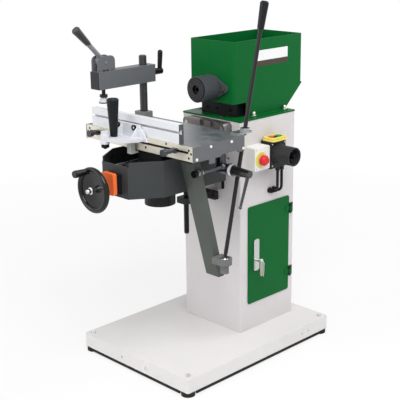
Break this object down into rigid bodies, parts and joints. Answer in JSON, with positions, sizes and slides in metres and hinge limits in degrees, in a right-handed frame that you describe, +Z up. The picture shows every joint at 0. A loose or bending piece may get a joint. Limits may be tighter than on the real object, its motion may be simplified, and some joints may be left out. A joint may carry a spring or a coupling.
{
  "type": "horizontal slot mortiser",
  "caption": "Floor-standing horizontal slot mortiser: column with hooded motor and chuck, rising knee, lever-driven cross table with fence and cam clamp.",
  "frame": {"origin": "On the floor under the middle of the base, centred on the holes of the feet.", "axes": "X to the operator's right, Y from the operator's side to the column, Z up."},
  "size_m": [0.626, 1.038, 1.3675],
  "materials": {
    "base_grey": "semi-gloss light grey paint",
    "column_paint": "light grey enamel",
    "green_paint": "green enamel",
    "grey_cast": "mid grey paint on casting",
    "dark_grey": "dark grey paint",
    "black_metal": "black paint",
    "rubber": "matte black rubber",
    "zinc": "zinc plated",
    "steel": "ground steel",
    "alu": "anodised aluminium",
    "white_cast": "off-white paint",
    "black_plastic": "black plastic",
    "white_plastic": "light grey plastic",
    "yellow_plastic": "pale yellow plastic",
    "orange_plastic": "orange plastic",
    "red_plastic": "red plastic",
    "green_plastic": "green plastic",
    "cable": "black cable sheath"
  },
  "bodies": {
    "stand": {"base_plate": "base_grey", "rubber_feet": "rubber", "stand_fasteners": "zinc", "column_shell": "column_paint", "guide_frame": "grey_cast", "guide_rails": "black_metal", "lift_nut": "dark_grey", "top_plate": "green_paint", "hood": "green_paint", "motor": "black_metal", "spindle_housing": "black_metal", "estop_box": "white_plastic", "switch_body": "black_plastic", "switch_collar": "yellow_plastic", "power_inlet": "black_plastic", "cable_glands": "black_plastic", "switch_cables": "cable", "hinge_leaves": "black_metal"},
    "spindle": {"chuck": "black_metal", "chuck_jaws": "steel"},
    "knee": {"knee_housing": "dark_grey", "knee_slide": "dark_grey", "y_rods": "steel", "dust_spout": "black_plastic", "lever_arm": "grey_cast", "lever_socket": "grey_cast", "indicator": "orange_plastic", "stop_rod": "steel"},
    "screw": {"lifting_screw": "steel"},
    "wheel": {"handwheel": "black_plastic", "wheel_shaft": "steel"},
    "crank": {"crank_grip": "black_plastic"},
    "saddle": {"saddle": "black_metal", "lock_sleeve": "black_metal"},
    "lock": {"lock_lever": "black_metal"},
    "table": {"table_top": "alu", "x_rods": "steel", "end_plates": "grey_cast", "table_fasteners": "zinc", "fence": "white_cast", "lever_tab": "grey_cast", "handle_bracket": "white_cast", "front_grip": "black_plastic", "clamp_foot": "steel"},
    "stop_a": {"stop_left": "black_metal"},
    "stop_b": {"stop_right": "black_metal"},
    "post": {"clamp_post": "steel"},
    "clamp": {"clamp_arm": "black_metal"},
    "ratchet": {"ratchet_lever": "black_plastic"},
    "cam": {"cam_lever": "black_metal"},
    "plunger": {"plunger": "black_metal"},
    "ball": {"pivot_ball": "steel"},
    "lever": {"main_lever": "black_metal", "lever_grip": "black_plastic"},
    "door": {"door": "green_paint", "lock_plate": "steel"},
    "door_handle": {"door_lock": "zinc"},
    "estop": {"estop_button": "red_plastic"},
    "stop_key": {"stop_button": "red_plastic"},
    "start_key": {"start_button": "green_plastic"}
  },
  "joints": [
    {"name": "spindle_turn", "type": "hinge", "parent": "stand", "child": "spindle", "pos_m": [0, -0.02, 1.035], "axis": [0, 1, 0], "continuous": true},
    {"name": "knee_lift", "type": "slide", "parent": "stand", "child": "knee", "axis": [0, 0, 1], "range_m": [-0.02, 0.1]},
    {"name": "wheel_turn", "type": "hinge", "parent": "knee", "child": "wheel", "pos_m": [0, -0.553, 0.751], "axis": [0, 1, 0], "range_deg": [-1830, 9030]},
    {"name": "screw_turn", "type": "hinge", "parent": "knee", "child": "screw", "pos_m": [0, -0.112, 0.6], "axis": [0, 0, 1], "range_deg": [-9030, 1830]},
    {"name": "crank_turn", "type": "hinge", "parent": "wheel", "child": "crank", "pos_m": [-0.02326, -0.593, 0.8149], "axis": [0, 1, 0], "continuous": true},
    {"name": "saddle_travel", "type": "slide", "parent": "knee", "child": "saddle", "axis": [0, 1, 0], "range_m": [-0.088, 0]},
    {"name": "lock_turn", "type": "hinge", "parent": "saddle", "child": "lock", "pos_m": [0.276, -0.112, 0.78], "axis": [1, 0, 0], "range_deg": [-60, 15]},
    {"name": "table_travel", "type": "slide", "parent": "saddle", "child": "table", "axis": [1, 0, 0], "range_m": [-0.1, 0.1]},
    {"name": "stop_a_slide", "type": "slide", "parent": "table", "child": "stop_a", "axis": [1, 0, 0], "range_m": [-0.03, 0.06]},
    {"name": "stop_b_slide", "type": "slide", "parent": "table", "child": "stop_b", "axis": [1, 0, 0], "range_m": [-0.06, 0.05]},
    {"name": "post_swivel", "type": "hinge", "parent": "table", "child": "post", "pos_m": [-0.238, -0.103, 1], "axis": [0, 0, 1], "range_deg": [-25, 60]},
    {"name": "clamp_height", "type": "slide", "parent": "post", "child": "clamp", "axis": [0, 0, 1], "range_m": [-0.05, 0.02]},
    {"name": "ratchet_turn", "type": "hinge", "parent": "clamp", "child": "ratchet", "pos_m": [-0.238, -0.045, 1.078], "axis": [0, 1, 0], "range_deg": [-60, 60]},
    {"name": "cam_turn", "type": "hinge", "parent": "clamp", "child": "cam", "pos_m": [-0.238, -0.3, 1.144], "axis": [1, 0, 0], "range_deg": [0, 60]},
    {"name": "plunger_press", "type": "slide", "parent": "clamp", "child": "plunger", "axis": [0, 0, 1], "range_m": [-0.0081, 0.0001]},
    {"name": "lever_pitch", "type": "hinge", "parent": "knee", "child": "ball", "pos_m": [0.245, -0.157, 0.447], "axis": [1, 0, 0], "range_deg": [-0.2, 10.7]},
    {"name": "lever_roll", "type": "hinge", "parent": "ball", "child": "lever", "pos_m": [0.245, -0.157, 0.447], "axis": [0, 0.9746, -0.224], "range_deg": [-11.91, 11.91]},
    {"name": "door_swing", "type": "hinge", "parent": "stand", "child": "door", "pos_m": [0.161, 0.313, 0.38], "axis": [0, 0, 1], "range_deg": [0, 110]},
    {"name": "door_handle_turn", "type": "hinge", "parent": "door", "child": "door_handle", "pos_m": [0.18, 0.109, 0.36], "axis": [1, 0, 0], "range_deg": [0, 90]},
    {"name": "estop_press", "type": "slide", "parent": "stand", "child": "estop", "axis": [-1, 0, 0], "range_m": [0, 0.006], "stiffness_N_per_m": 800},
    {"name": "stop_press", "type": "slide", "parent": "stand", "child": "stop_key", "axis": [0, 0, -1], "range_m": [0, 0.003], "stiffness_N_per_m": 600},
    {"name": "start_press", "type": "slide", "parent": "stand", "child": "start_key", "axis": [0, 0, -1], "range_m": [0, 0.003], "stiffness_N_per_m": 600}
  ],
  "couplings": [
    {"joint": "wheel_turn", "follows": "knee_lift", "rad_per_m": 1570.8},
    {"joint": "screw_turn", "follows": "knee_lift", "rad_per_m": -1570.8},
    {"joint": "plunger_press", "follows": "cam_turn", "m_per_rad": -0.0076394},
    {"joint": "lever_pitch", "follows": "saddle_travel", "rad_per_m": -2.0834},
    {"joint": "lever_roll", "follows": "table_travel", "rad_per_m": 2.0446}
  ]
}
